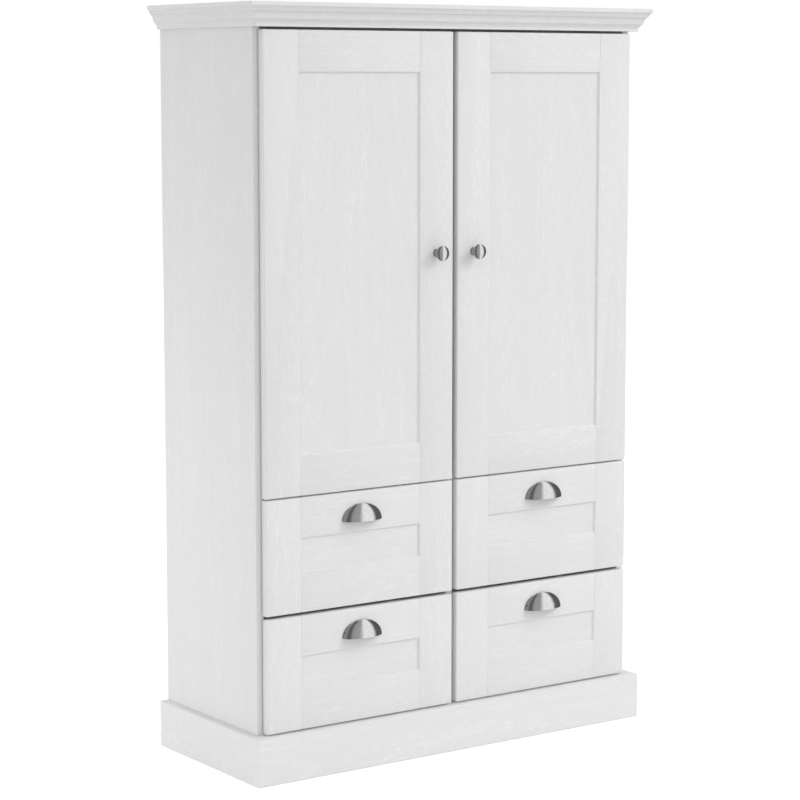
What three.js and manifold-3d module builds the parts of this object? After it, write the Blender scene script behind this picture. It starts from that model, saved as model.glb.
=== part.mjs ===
// Two-door, four-drawer armoire with a moulded cornice and a plinth base.
// Units are millimetres, +Z is up and the fronts face -Y.
// The origin is on the floor, at the centre of the overall width and depth.
import * as THREE from 'three';
import { mergeVertices } from 'three/addons/utils/BufferGeometryUtils.js';
import Module from 'manifold-3d';

const wasm = await Module();
wasm.setup();

// ---- driving dimensions -------------------------------------------------------------

const HEIGHT = 1440;
const DEPTH = 382; // knob tip to back board
const CARCASS_W = 880; // outer face to outer face of the side panels
const BOARD_T = 16; // all carcass boards and fronts
const BACK_T = 3;
const BACK_MARGIN = 2; // back board inside the outline it is nailed to
const MIDDLE_PANEL_RAISE = 1.5; // above the middle of the gap between door and drawer

const PLINTH_H = 90;
const PLINTH_T = 17;
const PLINTH_REACH = 14.5; // plinth ahead of the fronts' faces

const CORNICE_H = 44;
const CORNICE_OVERHANG = 27; // top edge beyond the carcass
// Bands of the cornice from the bottom up; a lean makes the band's top stand further out.
const CORNICE_BANDS = [
  { out: 6.5, lean: 0, bottom: 0, top: 5 },
  { out: 13.5, lean: 2, bottom: 14, top: 21.5 },
  { out: 21, lean: 2, bottom: 28, top: 32 },
  { out: CORNICE_OVERHANG, lean: 0, bottom: 36.5, top: CORNICE_H },
];
const CORNICE_HOLLOW = 1.2; // pulls the curve between two bands in and up
const MITRE_GAP = 0.2;

const FRONT_W = 424; // width of a door and of a drawer front
const FRONT_GAP = 11; // between the left and right fronts
const FRONT_CLEAR = 2.5; // fronts to the carcass edges behind them
const DRAWER_FRONT_H = 217;
const GAP_OVER_PLINTH = 3;
const GAP_BETWEEN_DRAWERS = 6.5;
const GAP_UNDER_DOOR = 3;
const GAP_OVER_DOOR = 5;

const STILE_W = 76.5;
const DOOR_RAIL_W = 75;
const DRAWER_RAIL_W = 76;
const RECESS = 4; // framed panel behind the face of its frame
const PANEL_T = 6;

const SHELF_CLEAR = 0.5;
const SHELF_SETBACK = 22;
const SHELF_COUNT = 2;

const DRAWER_BOX_L = 300;
const DRAWER_BOX_H = 160;
const DRAWER_BOX_T = 12;
const DRAWER_BOX_RAISE = 15; // box above the lower edge of its front
const DRAWER_BOTTOM_T = 4;
const DRAWER_BOTTOM_RAISE = 10;
const RUNNER_SPACE = 12.5; // drawer box to the board beside it
const RUNNER_W = 11.5;
const RUNNER_H = 30;
const RUNNER_T = 1.5;
const RUNNER_L = 300;
const RUNNER_SETBACK = 1; // runner's end behind the carcass edge

const KNOB_REACH = 27;
const KNOB_HEAD_HALF_T = 6;
const KNOB_R = 14.5;
const KNOB_BASE = { radius: 8.5, top: 1.5 };
const KNOB_NECK = { radius: 5, bottom: 6, top: 10, flare: 1 };
const KNOB_RAISE = 11; // above the middle of the door

const PULL_W = 90;
const PULL_H = 34;
const PULL_REACH = 22;
const PULL_FLANGE = 1.3;
const PULL_FLANGE_T = 1.6;
const PULL_WALL = 1.8;

const HINGE_CUP_R = 17.2;
const HINGE_POCKET_R = 17.5;
const HINGE_CUP_DEPTH = 11;
const HINGE_CUP_WALL = 1.5;
const HINGE_FLANGE_T = 1.2;
const HINGE_EAR = { halfW: 7, reach: 29 }; // screw ears above and below the cup
const HINGE_POCKET_DEPTH = 11.5;
const HINGE_INSET = 22.5; // cup centre to the door's outer edge
const HINGE_END_DISTANCE = 100; // cup centre to the door's top and bottom edges
const HINGE_PLATE = { t: 3, front: 14, back: 50, halfH: 20 };
const HINGE_ARM = {
  halfW: 7, front: 2, back: 62, foot: 2, footFront: 8, backTop: 12, top: 16, topBack: 30, noseFoot: 11,
};

// ---- derived places -----------------------------------------------------------------

const FACE_Y = -DEPTH / 2 + KNOB_REACH; // face of the doors and drawers
const FRONT_BACK_Y = FACE_Y + BOARD_T;
const CARCASS_FRONT_Y = FRONT_BACK_Y + FRONT_CLEAR;
const BACK_Y = DEPTH / 2;
const CARCASS_BACK_Y = BACK_Y - BACK_T;
const BASE_FRONT_Y = FACE_Y + PLINTH_T - PLINTH_REACH; // boards behind plinth and cornice

const HALF_W = CARCASS_W / 2;
const INNER_HALF_W = HALF_W - BOARD_T;
const CORNICE_Z = HEIGHT - CORNICE_H;
const TOP_BOARD_Z = HEIGHT - BOARD_T;

const LOWER_DRAWER_Z = PLINTH_H + GAP_OVER_PLINTH;
const UPPER_DRAWER_Z = LOWER_DRAWER_Z + DRAWER_FRONT_H + GAP_BETWEEN_DRAWERS;
const DOOR_Z = UPPER_DRAWER_Z + DRAWER_FRONT_H + GAP_UNDER_DOOR;
const DOOR_H = CORNICE_Z - GAP_OVER_DOOR - DOOR_Z;
const MIDDLE_PANEL_Z = DOOR_Z - GAP_UNDER_DOOR - BOARD_T / 2 + MIDDLE_PANEL_RAISE;
const COMPARTMENT_Z = MIDDLE_PANEL_Z + BOARD_T;
const DIVIDER_HALF_T = BOARD_T / 2;

const SIDES = [
  { name: 'left', sign: -1 },
  { name: 'right', sign: 1 },
];

// ---- materials ----------------------------------------------------------------------

const FINISHES = {
  whiteBoard: { color: 0xe9e9e7, roughness: 0.55, metalness: 0 },
  whiteHardboard: { color: 0xe2e1dc, roughness: 0.75, metalness: 0 },
  brushedNickel: { color: 0xa9a7a3, roughness: 0.32, metalness: 1 },
  zincSteel: { color: 0x9b9d9f, roughness: 0.35, metalness: 1 },
  whiteSteel: { color: 0xe6e6e4, roughness: 0.45, metalness: 0.1 },
};

const armoire = new THREE.Group();

function addPiece(name, geometry, finish, parent = armoire) {
  const mesh = new THREE.Mesh(geometry, new THREE.MeshStandardMaterial(FINISHES[finish]));
  mesh.name = name;
  parent.add(mesh);
  return mesh;
}

// A board given by its lowest and highest corners.
function boardGeometry([x0, y0, z0], [x1, y1, z1]) {
  const geometry = new THREE.BoxGeometry(x1 - x0, y1 - y0, z1 - z0);
  geometry.translate((x0 + x1) / 2, (y0 + y1) / 2, (z0 + z1) / 2);
  return geometry;
}

function addBoard(name, low, high, finish = 'whiteBoard') {
  return addPiece(name, boardGeometry(low, high), finish);
}

// ---- solid joins and cuts -----------------------------------------------------------

function toSolid(geometry) {
  const bare = geometry.clone();
  bare.deleteAttribute('normal');
  bare.deleteAttribute('uv');
  const merged = mergeVertices(bare, 1e-4);
  return new wasm.Manifold(new wasm.Mesh({
    numProp: 3,
    vertProperties: new Float32Array(merged.attributes.position.array),
    triVerts: new Uint32Array(merged.index.array),
  }));
}

function toGeometry(solid) {
  const mesh = solid.getMesh();
  const geometry = new THREE.BufferGeometry();
  geometry.setAttribute('position', new THREE.BufferAttribute(mesh.vertProperties, 3));
  geometry.setIndex(new THREE.BufferAttribute(mesh.triVerts, 1));
  geometry.computeVertexNormals();
  return geometry;
}

// ---- mitred runs: cornice moulding and plinth boards --------------------------------

// The profile's x is the distance outward from the carcass and its y is the height. Each
// end is either square or mitred, where it grows with the distance outward.
function runGeometry(profile, length, mitreStart, mitreEnd) {
  const geometry = new THREE.ExtrudeGeometry(profile, {
    depth: length,
    bevelEnabled: false,
    curveSegments: 6,
  });
  const position = geometry.attributes.position;
  for (let i = 0; i < position.count; i += 1) {
    const outward = position.getX(i);
    const along = position.getZ(i);
    if (along < length / 2 && mitreStart) {
      position.setZ(i, along - outward + MITRE_GAP);
    }
    if (along > length / 2 && mitreEnd) {
      position.setZ(i, along + outward - MITRE_GAP);
    }
  }
  return geometry;
}

function addRun(name, profile, z, side) {
  const up = new THREE.Vector3(0, 0, 1);
  const outward = new THREE.Vector3(side.x, side.y, 0);
  const along = new THREE.Vector3().crossVectors(outward, up);
  const geometry = runGeometry(profile, side.length, side.mitreStart, side.mitreEnd);
  const mesh = addPiece(name, geometry, 'whiteBoard');
  mesh.quaternion.setFromRotationMatrix(new THREE.Matrix4().makeBasis(outward, up, along));
  mesh.position.set(side.startX, side.startY, z);
}

const RUN_DEPTH = CARCASS_BACK_Y - BASE_FRONT_Y;
const RUNS = {
  front: {
    x: 0, y: -1, length: CARCASS_W, startX: HALF_W, startY: BASE_FRONT_Y,
    mitreStart: true, mitreEnd: true,
  },
  left: {
    x: -1, y: 0, length: RUN_DEPTH, startX: -HALF_W, startY: BASE_FRONT_Y,
    mitreStart: true, mitreEnd: false,
  },
  right: {
    x: 1, y: 0, length: RUN_DEPTH, startX: HALF_W, startY: CARCASS_BACK_Y,
    mitreStart: false, mitreEnd: true,
  },
};

// Lip, lower cove, middle fillet, upper cove and top fillet, from the bottom up. A cove is
// a hollow curve that leaves going up and arrives at a small ledge going out.
function corniceProfile() {
  const profile = new THREE.Shape();
  profile.moveTo(0, 0);
  let lower = null;
  for (const band of CORNICE_BANDS) {
    if (lower) {
      const midOut = (lower.out + lower.lean + band.out) / 2;
      const midUp = (lower.top + band.bottom) / 2;
      profile.quadraticCurveTo(midOut - CORNICE_HOLLOW, midUp + CORNICE_HOLLOW, band.out, band.bottom);
    } else {
      profile.lineTo(band.out, band.bottom);
    }
    profile.lineTo(band.out + band.lean, band.top);
    lower = band;
  }
  profile.lineTo(0, CORNICE_H);
  profile.closePath();
  return profile;
}

function plinthProfile() {
  const profile = new THREE.Shape();
  profile.moveTo(0, 0);
  profile.lineTo(PLINTH_T, 0);
  profile.lineTo(PLINTH_T, PLINTH_H);
  profile.lineTo(0, PLINTH_H);
  profile.closePath();
  return profile;
}

function buildRuns() {
  for (const [sideName, side] of Object.entries(RUNS)) {
    addRun(`cornice_${sideName}`, corniceProfile(), CORNICE_Z, side);
    addRun(`plinth_${sideName}`, plinthProfile(), 0, side);
  }
}

// ---- carcass ------------------------------------------------------------------------

function buildCarcass() {
  const bottomZ = PLINTH_H - BOARD_T;
  for (const { name, sign } of SIDES) {
    const xs = [sign * HALF_W, sign * INNER_HALF_W].sort((a, b) => a - b);
    addBoard(
      `side_panel_${name}`,
      [xs[0], CARCASS_FRONT_Y, PLINTH_H],
      [xs[1], CARCASS_BACK_Y, TOP_BOARD_Z],
    );
  }
  addBoard('bottom_panel', [-HALF_W, BASE_FRONT_Y, bottomZ], [HALF_W, CARCASS_BACK_Y, PLINTH_H]);
  addBoard('top_board', [-HALF_W, BASE_FRONT_Y, TOP_BOARD_Z], [HALF_W, CARCASS_BACK_Y, HEIGHT]);
  addBoard('cornice_rail', [-HALF_W, BASE_FRONT_Y, CORNICE_Z], [HALF_W, CARCASS_FRONT_Y, TOP_BOARD_Z]);
  addBoard(
    'middle_panel',
    [-INNER_HALF_W, CARCASS_FRONT_Y, MIDDLE_PANEL_Z],
    [INNER_HALF_W, CARCASS_BACK_Y, COMPARTMENT_Z],
  );
  addBoard(
    'drawer_divider',
    [-DIVIDER_HALF_T, CARCASS_FRONT_Y, PLINTH_H],
    [DIVIDER_HALF_T, CARCASS_BACK_Y, MIDDLE_PANEL_Z],
  );
  addBoard(
    'back_panel',
    [-HALF_W + BACK_MARGIN, CARCASS_BACK_Y, bottomZ + BACK_MARGIN],
    [HALF_W - BACK_MARGIN, BACK_Y, HEIGHT - BACK_MARGIN],
    'whiteHardboard',
  );
}

function buildShelves() {
  const bay = (TOP_BOARD_Z - COMPARTMENT_Z - SHELF_COUNT * BOARD_T) / (SHELF_COUNT + 1);
  for (let i = 1; i <= SHELF_COUNT; i += 1) {
    const z = Math.round(COMPARTMENT_Z + i * bay + (i - 1) * BOARD_T);
    addBoard(
      `shelf_${i === 1 ? 'lower' : 'upper'}`,
      [-INNER_HALF_W + SHELF_CLEAR, CARCASS_FRONT_Y + SHELF_SETBACK, z],
      [INNER_HALF_W - SHELF_CLEAR, CARCASS_BACK_Y - SHELF_CLEAR, z + BOARD_T],
    );
  }
}

// ---- concealed hinges ---------------------------------------------------------------

function cylinderAlongY(radius, y0, y1, segments = 32) {
  const geometry = new THREE.CylinderGeometry(radius, radius, y1 - y0, segments);
  geometry.translate(0, (y0 + y1) / 2, 0);
  return geometry;
}

// A round cup sunk in the door's back, under a flange with two screw ears. y = 0 is the
// back face of the door.
function hingeCupGeometry() {
  const { halfW, reach } = HINGE_EAR;
  const innerR = HINGE_CUP_R - HINGE_CUP_WALL;
  const cup = toSolid(cylinderAlongY(HINGE_CUP_R, -HINGE_CUP_DEPTH, HINGE_FLANGE_T));
  const hollow = toSolid(cylinderAlongY(innerR, HINGE_CUP_WALL - HINGE_CUP_DEPTH, 2 * HINGE_FLANGE_T));
  const ears = toSolid(boardGeometry([-halfW, 0, -reach], [halfW, HINGE_FLANGE_T, reach]));
  return toGeometry(cup.add(ears).subtract(hollow));
}

// A mounting plate on the side panel with the arm clipped on it. x = 0 is the panel's face
// and y = 0 its front edge.
function hingeArmGeometry(sign) {
  const { t, front, back, halfH } = HINGE_PLATE;
  const arm = HINGE_ARM;
  const plate = boardGeometry([0, front, -halfH], [t, back, halfH]);
  const armShape = new THREE.Shape();
  armShape.moveTo(arm.foot, arm.footFront);
  armShape.lineTo(arm.foot, arm.back);
  armShape.lineTo(arm.backTop, arm.back);
  armShape.lineTo(arm.top, arm.topBack);
  armShape.lineTo(arm.top, arm.front);
  armShape.lineTo(arm.noseFoot, arm.front);
  armShape.closePath();
  const armBody = new THREE.ExtrudeGeometry(armShape, { depth: 2 * arm.halfW, bevelEnabled: false });
  armBody.translate(0, 0, -arm.halfW);
  const geometry = toGeometry(toSolid(plate).add(toSolid(armBody)));
  if (sign > 0) {
    geometry.rotateY(Math.PI);
  }
  return geometry;
}

function hingeHeights() {
  return [
    { name: 'lower', z: DOOR_Z + HINGE_END_DISTANCE },
    { name: 'upper', z: DOOR_Z + DOOR_H - HINGE_END_DISTANCE },
  ];
}

function buildHinges(side, outerX) {
  for (const { name, z } of hingeHeights()) {
    const cup = addPiece(`hinge_cup_${side.name}_${name}`, hingeCupGeometry(), 'zincSteel');
    cup.position.set(outerX - side.sign * HINGE_INSET, FRONT_BACK_Y, z);
    const arm = addPiece(`hinge_arm_${side.name}_${name}`, hingeArmGeometry(side.sign), 'zincSteel');
    arm.position.set(side.sign * INNER_HALF_W, CARCASS_FRONT_Y, z);
  }
}

// ---- doors --------------------------------------------------------------------------

function hingeStileGeometry(x0, x1, cupX) {
  const stile = boardGeometry([x0, FACE_Y, DOOR_Z], [x1, FRONT_BACK_Y, DOOR_Z + DOOR_H]);
  let solid = toSolid(stile);
  for (const { z } of hingeHeights()) {
    const pocket = cylinderAlongY(HINGE_POCKET_R, -HINGE_POCKET_DEPTH, 1);
    pocket.translate(cupX, FRONT_BACK_Y, z);
    solid = solid.subtract(toSolid(pocket));
  }
  return toGeometry(solid);
}

// Turned mushroom knob: base, waist and flattened head, with its axis along -Y.
function knobGeometry() {
  const headY = KNOB_REACH - KNOB_HEAD_HALF_T;
  const points = [
    new THREE.Vector2(0, 0),
    new THREE.Vector2(KNOB_BASE.radius, 0),
    new THREE.Vector2(KNOB_BASE.radius, KNOB_BASE.top),
    new THREE.Vector2(KNOB_NECK.radius + KNOB_NECK.flare, KNOB_NECK.bottom),
    new THREE.Vector2(KNOB_NECK.radius, KNOB_NECK.top),
  ];
  const steps = 10;
  for (let i = 2; i <= steps; i += 1) {
    const angle = -Math.PI / 2 + (i / steps) * Math.PI;
    const radius = i === steps ? 0 : KNOB_R * Math.cos(angle);
    points.push(new THREE.Vector2(radius, headY + KNOB_HEAD_HALF_T * Math.sin(angle)));
  }
  const geometry = new THREE.LatheGeometry(points, 28);
  geometry.rotateX(Math.PI);
  return geometry;
}

function buildDoor(side) {
  const outerX = side.sign * (FRONT_GAP / 2 + FRONT_W);
  const closingX = side.sign * (FRONT_GAP / 2);
  const stileOuterX = outerX - side.sign * STILE_W;
  const stileClosingX = closingX + side.sign * STILE_W;
  const ordered = (a, b) => [Math.min(a, b), Math.max(a, b)];
  const [hx0, hx1] = ordered(outerX, stileOuterX);
  const [cx0, cx1] = ordered(closingX, stileClosingX);
  const [rx0, rx1] = ordered(stileOuterX, stileClosingX);
  const top = DOOR_Z + DOOR_H;
  const name = `door_${side.name}`;

  addPiece(
    `${name}_hinge_stile`,
    hingeStileGeometry(hx0, hx1, outerX - side.sign * HINGE_INSET),
    'whiteBoard',
  );
  addBoard(`${name}_closing_stile`, [cx0, FACE_Y, DOOR_Z], [cx1, FRONT_BACK_Y, top]);
  addBoard(`${name}_top_rail`, [rx0, FACE_Y, top - DOOR_RAIL_W], [rx1, FRONT_BACK_Y, top]);
  addBoard(`${name}_bottom_rail`, [rx0, FACE_Y, DOOR_Z], [rx1, FRONT_BACK_Y, DOOR_Z + DOOR_RAIL_W]);
  addBoard(
    `${name}_panel`,
    [rx0, FACE_Y + RECESS, DOOR_Z + DOOR_RAIL_W],
    [rx1, FACE_Y + RECESS + PANEL_T, top - DOOR_RAIL_W],
  );
  const knob = addPiece(`knob_${side.name}`, knobGeometry(), 'brushedNickel');
  knob.position.set(closingX + side.sign * STILE_W / 2, FACE_Y, DOOR_Z + DOOR_H / 2 + KNOB_RAISE);
  buildHinges(side, outerX);
}

// ---- drawers ------------------------------------------------------------------------

function drawerFrontGeometry(x0, z0) {
  const front = boardGeometry([x0, FACE_Y, z0], [x0 + FRONT_W, FRONT_BACK_Y, z0 + DRAWER_FRONT_H]);
  const recess = boardGeometry(
    [x0 + STILE_W, FACE_Y - 1, z0 + DRAWER_RAIL_W],
    [x0 + FRONT_W - STILE_W, FACE_Y + RECESS, z0 + DRAWER_FRONT_H - DRAWER_RAIL_W],
  );
  return toGeometry(toSolid(front).subtract(toSolid(recess)));
}

// Two sides and a back in one wrapped length, seen from above as a U.
function drawerBoxGeometry(x0, x1, z0) {
  const backY = FRONT_BACK_Y + DRAWER_BOX_L;
  const shape = new THREE.Shape();
  shape.moveTo(x0, FRONT_BACK_Y);
  shape.lineTo(x0 + DRAWER_BOX_T, FRONT_BACK_Y);
  shape.lineTo(x0 + DRAWER_BOX_T, backY - DRAWER_BOX_T);
  shape.lineTo(x1 - DRAWER_BOX_T, backY - DRAWER_BOX_T);
  shape.lineTo(x1 - DRAWER_BOX_T, FRONT_BACK_Y);
  shape.lineTo(x1, FRONT_BACK_Y);
  shape.lineTo(x1, backY);
  shape.lineTo(x0, backY);
  shape.closePath();
  const geometry = new THREE.ExtrudeGeometry(shape, { depth: DRAWER_BOX_H, bevelEnabled: false });
  geometry.translate(0, 0, z0);
  return geometry;
}

// An ellipsoid, or a flat elliptical disc, cut down to what is above z = 0 and ahead of y = 0.
function quarter(solid) {
  const keep = boardGeometry([-PULL_W, -PULL_W, 0], [PULL_W, 0, PULL_W]);
  return solid.intersect(toSolid(keep));
}

function domeSolid(inset) {
  const dome = new THREE.SphereGeometry(1, 32, 24);
  dome.scale(
    PULL_W / 2 - PULL_FLANGE - inset,
    PULL_REACH - inset,
    PULL_H - PULL_FLANGE - inset,
  );
  return toSolid(dome);
}

// Half-dome cup pull, open below, with a thin flange on the drawer front.
function pullGeometry() {
  const flange = cylinderAlongY(1, -PULL_FLANGE_T, PULL_FLANGE_T, 48);
  flange.scale(PULL_W / 2, 1, PULL_H);
  const shell = domeSolid(0).add(toSolid(flange)).subtract(domeSolid(PULL_WALL));
  return toGeometry(quarter(shell));
}

// Shallow C-section runner, open towards the drawer, lying along Y.
function runnerGeometry() {
  const shape = new THREE.Shape();
  shape.moveTo(0, 0);
  shape.lineTo(RUNNER_W, 0);
  shape.lineTo(RUNNER_W, RUNNER_T);
  shape.lineTo(RUNNER_T, RUNNER_T);
  shape.lineTo(RUNNER_T, RUNNER_H - RUNNER_T);
  shape.lineTo(RUNNER_W / 2, RUNNER_H - RUNNER_T);
  shape.lineTo(RUNNER_W / 2, RUNNER_H);
  shape.lineTo(0, RUNNER_H);
  shape.closePath();
  return new THREE.ExtrudeGeometry(shape, { depth: RUNNER_L, bevelEnabled: false });
}

// The runner's web is on the board at wallX and its flanges point along facing.
function addRunner(name, wallX, facing, z) {
  const outward = new THREE.Vector3(facing, 0, 0);
  const up = new THREE.Vector3(0, 0, 1);
  const along = new THREE.Vector3().crossVectors(outward, up);
  const runner = addPiece(name, runnerGeometry(), 'whiteSteel');
  runner.quaternion.setFromRotationMatrix(new THREE.Matrix4().makeBasis(outward, up, along));
  const startY = CARCASS_FRONT_Y + RUNNER_SETBACK + (facing > 0 ? RUNNER_L : 0);
  runner.position.set(wallX, startY, z);
}

function buildDrawer(side, rowName, frontZ) {
  const name = `drawer_${rowName}_${side.name}`;
  const middleX = side.sign * (FRONT_GAP + FRONT_W) / 2;
  const frontX = middleX - FRONT_W / 2;
  const walls = [side.sign * INNER_HALF_W, side.sign * DIVIDER_HALF_T].sort((a, b) => a - b);
  const boxX0 = walls[0] + RUNNER_SPACE;
  const boxX1 = walls[1] - RUNNER_SPACE;
  const boxZ = frontZ + DRAWER_BOX_RAISE;
  const bottomZ = boxZ + DRAWER_BOTTOM_RAISE;

  addPiece(`${name}_front`, drawerFrontGeometry(frontX, frontZ), 'whiteBoard');
  addPiece(`${name}_box`, drawerBoxGeometry(boxX0, boxX1, boxZ), 'whiteBoard');
  addBoard(
    `${name}_bottom`,
    [boxX0 + DRAWER_BOX_T, FRONT_BACK_Y, bottomZ],
    [boxX1 - DRAWER_BOX_T, FRONT_BACK_Y + DRAWER_BOX_L - DRAWER_BOX_T, bottomZ + DRAWER_BOTTOM_T],
    'whiteHardboard',
  );
  const pull = addPiece(`${name}_pull`, pullGeometry(), 'brushedNickel');
  const pullZ = frontZ + DRAWER_FRONT_H - DRAWER_RAIL_W / 2 - PULL_H / 2;
  pull.position.set(middleX, FACE_Y, pullZ);
  addRunner(`runner_${rowName}_${side.name}_a`, walls[0], 1, boxZ - RUNNER_T);
  addRunner(`runner_${rowName}_${side.name}_b`, walls[1], -1, boxZ - RUNNER_T);
}

// ---- assembly -----------------------------------------------------------------------

buildCarcass();
buildRuns();
buildShelves();
for (const side of SIDES) {
  buildDoor(side);
  buildDrawer(side, 'upper', UPPER_DRAWER_Z);
  buildDrawer(side, 'lower', LOWER_DRAWER_Z);
}

export default armoire;
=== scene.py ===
import itertools
import math

import bmesh
import bpy
from mathutils import Matrix, Vector


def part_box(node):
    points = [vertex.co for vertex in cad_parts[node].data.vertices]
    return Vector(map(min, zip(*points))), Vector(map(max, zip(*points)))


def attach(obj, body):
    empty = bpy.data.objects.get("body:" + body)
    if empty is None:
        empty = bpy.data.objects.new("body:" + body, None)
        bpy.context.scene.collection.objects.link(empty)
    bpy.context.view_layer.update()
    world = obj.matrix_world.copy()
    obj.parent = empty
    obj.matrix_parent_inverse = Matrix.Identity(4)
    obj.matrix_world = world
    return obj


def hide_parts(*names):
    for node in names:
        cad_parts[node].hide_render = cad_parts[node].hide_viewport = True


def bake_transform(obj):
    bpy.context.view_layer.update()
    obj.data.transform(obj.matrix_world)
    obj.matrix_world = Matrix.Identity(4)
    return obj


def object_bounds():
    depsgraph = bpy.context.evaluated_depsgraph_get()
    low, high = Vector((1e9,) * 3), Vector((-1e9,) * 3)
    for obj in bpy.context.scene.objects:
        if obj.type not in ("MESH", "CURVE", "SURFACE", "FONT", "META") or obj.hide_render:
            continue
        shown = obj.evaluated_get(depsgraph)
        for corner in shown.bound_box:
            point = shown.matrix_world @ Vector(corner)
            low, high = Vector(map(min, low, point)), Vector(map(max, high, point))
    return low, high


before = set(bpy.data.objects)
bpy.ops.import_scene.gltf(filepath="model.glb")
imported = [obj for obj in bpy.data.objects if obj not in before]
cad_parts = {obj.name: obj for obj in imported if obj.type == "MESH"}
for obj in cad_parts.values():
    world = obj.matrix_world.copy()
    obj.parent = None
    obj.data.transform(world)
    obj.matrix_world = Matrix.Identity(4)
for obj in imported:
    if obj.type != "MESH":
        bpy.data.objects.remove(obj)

cad_low, cad_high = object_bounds()

MM = 0.001
SIDES = {"left": -1, "right": 1}
ROWS = ("upper", "lower")
HINGES = ("upper", "lower")

# Roundings, slopes and hollows along the edges of the boards.
BOARD_EDGE = 0.8 * MM
THIN_EDGE = 0.3 * MM
FRONT_EDGE = 1.8 * MM
JOINT_EDGE = 0.7 * MM
OPENING_SLOPE = 3.3 * MM
OPENING_EDGE = 0.7 * MM
PLINTH_EDGE = 2.5 * MM
CORNICE_SOFT = 0.8 * MM
CORNICE_HOLLOW = 1.2 * MM

# Framing and boards.
STILE = 76.5 * MM
DOOR_RAIL = 75 * MM
DRAWER_RAIL = 76 * MM
DRAWER_BOARD = 12 * MM
MITRE_GAP = 0.1 * MM

# Hardware.
CUP_POCKET_RADIUS = 17.5 * MM
CUP_POCKET_DEPTH = 11.5 * MM
SHEET = 1.5 * MM
PIN_RADIUS = 2.5 * MM
PIN_DEPTH = 9 * MM
PIN_PITCH = 32 * MM
PIN_INSET = 37 * MM
NAIL_PROUD = 0.6 * MM

# Where the photograph was taken from, and its light.
CAMERA_YAW = 35.04
CAMERA_TILT = 7.41
CAMERA_LENS = 111.29
CAMERA_AT = (-2.7967, -3.9681, 1.3035)
AMBIENT = 0.80
FLOOR_LIFT = 0.30
FLOOR_RADIUS = 14.0
# Name, azimuth, elevation, distance, size and power; azimuth 0 is the armoire's front.
SOFTBOXES = (
    ("key", 45, 34, 6.0, 2.6, 113.0),
    ("fill", -62, 12, 6.0, 3.0, 22.0),
    ("side", -125, -10, 2.2, 0.7, 7.8),
)
# How bright the studio looks in metal, by which way the metal faces in degrees: 0 is towards the
# photograph's camera, 90 is to the right of it.
STUDIO_BANDS = (
    (-90, 0.36), (-20, 0.38), (-12, 0.17), (0, 0.16), (7, 0.44), (22, 0.50),
    (28, 1.22), (43, 1.22), (49, 0.15), (90, 0.13),
)
# How bright it looks in metal that faces left and away from that camera.
STUDIO_BEHIND = 0.75


# ---- materials -----------------------------------------------------------------------

# Lumps for each metre across, through and along the boards' grain.
WANDER_SCALE = (7.0, 7.0, 1.7)
STREAK_SCALE = (400.0, 400.0, 62.0)
BAND_SCALE = (17.0, 17.0, 1.9)
RING_SCALE = (5.0, 5.0, 0.5)
BREAK_SCALE = (160.0, 160.0, 34.0)
DRIFT_SCALE = (24.0, 24.0, 2.2)
PORE_SCALE = (1300.0, 1300.0, 46.0)
WANDER = (0.016, 0.016, 0.0)
RINGS_PER_LUMP = 120.0
RUB_SCALE = 60.0

FOIL_GREY = 0.775
FOIL_WHITE = 0.846
RUBBED_COLOUR = (0.74, 0.735, 0.725)

# Lumps for each metre of the other surfaces.
FIBRE_SCALE = 420.0
PATCH_SCALE = 9.0
BRUSHING_SCALE = (90.0, 90.0, 5200.0)
PLATING_SCALE = 500.0
FLOOR_SCALE = 3.0


def uniform(value):
    """A grey colour, or a scale that is equal in x, y and z."""
    return (value, value, value)


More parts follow.
